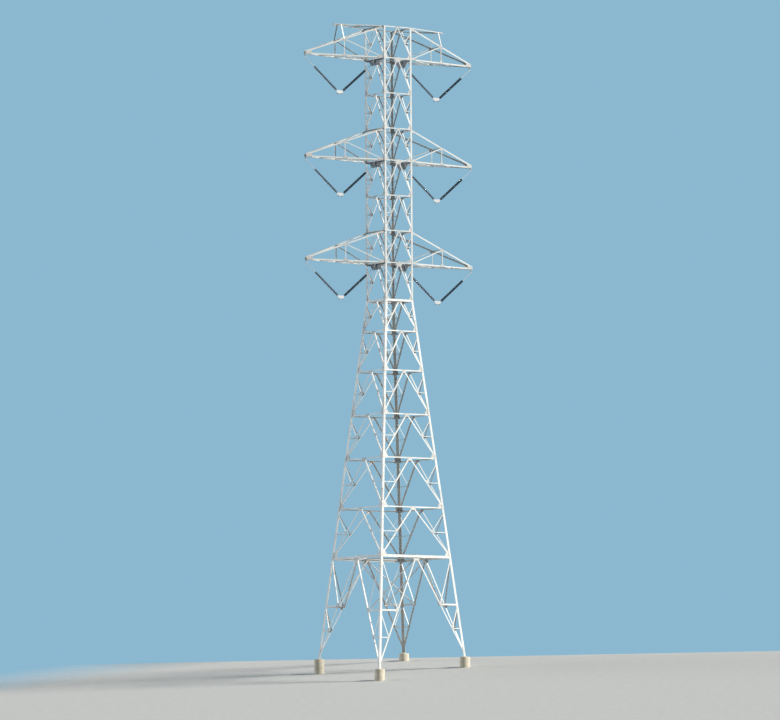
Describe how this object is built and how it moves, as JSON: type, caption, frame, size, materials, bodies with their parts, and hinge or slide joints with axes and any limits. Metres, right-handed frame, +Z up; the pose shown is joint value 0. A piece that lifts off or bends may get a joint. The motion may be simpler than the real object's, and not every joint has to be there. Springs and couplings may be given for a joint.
{
  "type": "half-scale lattice transmission pylon",
  "caption": "Free-standing double-circuit lattice steel pylon at 1:2 scale, with three pairs of crossarms, swinging V-shaped insulator strings and legs of unequal height on concrete piers.",
  "frame": {"origin": "middle of the tower's base, at the height of the four piers' lowest faces", "axes": "+Z up; the crossarms run along X, to the left (-X) and right (+X); the line runs along Y, with -Y the front"},
  "size_m": [10.42, 5.838, 33.56],
  "materials": {
    "galvanised_steel": "weathered galvanised, matt",
    "forged_fittings": "galvanised forgings, matt",
    "glazed_porcelain": "glossy dark glaze",
    "concrete": "cast concrete, rough"
  },
  "bodies": {
    "tower": {"footing_front_left": "concrete", "footing_front_right": "concrete", "footing_back_left": "concrete", "footing_back_right": "concrete", "leg_front_left": "galvanised_steel", "leg_front_right": "galvanised_steel", "leg_back_left": "galvanised_steel", "leg_back_right": "galvanised_steel", "cage_leg_front_left": "galvanised_steel", "cage_leg_front_right": "galvanised_steel", "cage_leg_back_left": "galvanised_steel", "cage_leg_back_right": "galvanised_steel", "leg_bracing_front": "galvanised_steel", "leg_bracing_right": "galvanised_steel", "leg_bracing_back": "galvanised_steel", "leg_bracing_left": "galvanised_steel", "body_bracing_front": "galvanised_steel", "body_bracing_right": "galvanised_steel", "body_bracing_back": "galvanised_steel", "body_bracing_left": "galvanised_steel", "cage_bracing_front": "galvanised_steel", "cage_bracing_right": "galvanised_steel", "cage_bracing_back": "galvanised_steel", "cage_bracing_left": "galvanised_steel", "hip_bracing": "galvanised_steel", "plan_bracing": "galvanised_steel", "crossarm_bottom_left": "galvanised_steel", "crossarm_bottom_right": "galvanised_steel", "crossarm_middle_left": "galvanised_steel", "crossarm_middle_right": "galvanised_steel", "crossarm_top_left": "galvanised_steel", "crossarm_top_right": "galvanised_steel"},
    "v_string_bottom_left": {"insulators_bottom_left": "glazed_porcelain", "string_fittings_bottom_left": "forged_fittings"},
    "v_string_bottom_right": {"insulators_bottom_right": "glazed_porcelain", "string_fittings_bottom_right": "forged_fittings"},
    "v_string_middle_left": {"insulators_middle_left": "glazed_porcelain", "string_fittings_middle_left": "forged_fittings"},
    "v_string_middle_right": {"insulators_middle_right": "glazed_porcelain", "string_fittings_middle_right": "forged_fittings"},
    "v_string_top_left": {"insulators_top_left": "glazed_porcelain", "string_fittings_top_left": "forged_fittings"},
    "v_string_top_right": {"insulators_top_right": "glazed_porcelain", "string_fittings_top_right": "forged_fittings"}
  },
  "joints": [
    {"name": "swing_bottom_left", "type": "hinge", "parent": "tower", "child": "v_string_bottom_left", "pos_m": [-3.035, 0, 21.31], "axis": [1, 0, 0], "range_deg": [-20, 20]},
    {"name": "swing_bottom_right", "type": "hinge", "parent": "tower", "child": "v_string_bottom_right", "pos_m": [3.035, 0, 21.31], "axis": [1, 0, 0], "range_deg": [-20, 20]},
    {"name": "swing_middle_left", "type": "hinge", "parent": "tower", "child": "v_string_middle_left", "pos_m": [-3.035, 0, 26.56], "axis": [1, 0, 0], "range_deg": [-20, 20]},
    {"name": "swing_middle_right", "type": "hinge", "parent": "tower", "child": "v_string_middle_right", "pos_m": [3.035, 0, 26.56], "axis": [1, 0, 0], "range_deg": [-20, 20]},
    {"name": "swing_top_left", "type": "hinge", "parent": "tower", "child": "v_string_top_left", "pos_m": [-3.035, 0, 31.81], "axis": [1, 0, 0], "range_deg": [-20, 20]},
    {"name": "swing_top_right", "type": "hinge", "parent": "tower", "child": "v_string_top_right", "pos_m": [3.035, 0, 31.81], "axis": [1, 0, 0], "range_deg": [-20, 20]}
  ]
}
